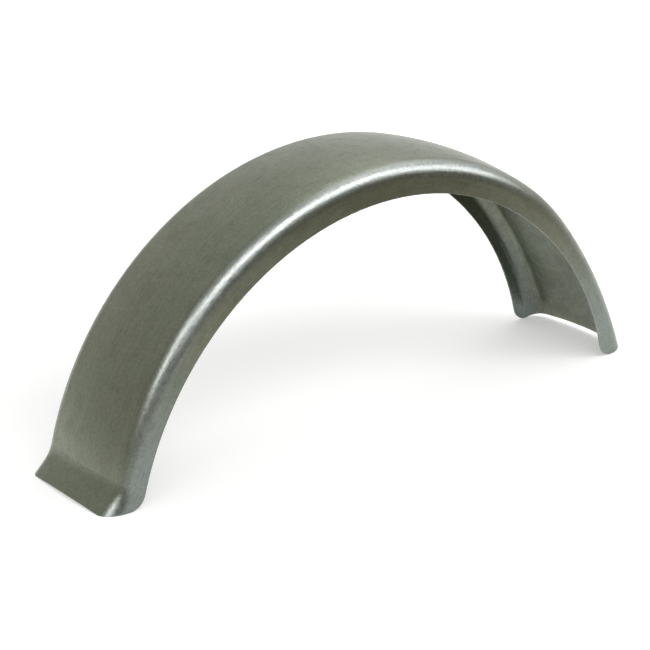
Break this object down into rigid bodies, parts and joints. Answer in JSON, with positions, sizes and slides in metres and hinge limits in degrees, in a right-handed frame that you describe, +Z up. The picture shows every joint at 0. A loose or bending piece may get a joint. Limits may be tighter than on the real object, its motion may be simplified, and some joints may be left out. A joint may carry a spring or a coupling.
{
  "type": "motorcycle rear fender",
  "caption": "Arched steel rear fender with a gently crowned top, rounded shoulders, side skirts and a turned-out rear lip.",
  "frame": {"origin": "on the floor that the fender's two ends stand on, below the middle of its length and width", "axes": "+X towards the front of the motorcycle, +Y to its left along the axle, +Z up"},
  "size_m": [0.714, 0.144, 0.2925],
  "materials": {
    "steel": "bare pressed steel with a thin film of oil, satin, with faint drawing marks"
  },
  "bodies": {
    "root": {"fender": "steel"}
  },
  "joints": []
}
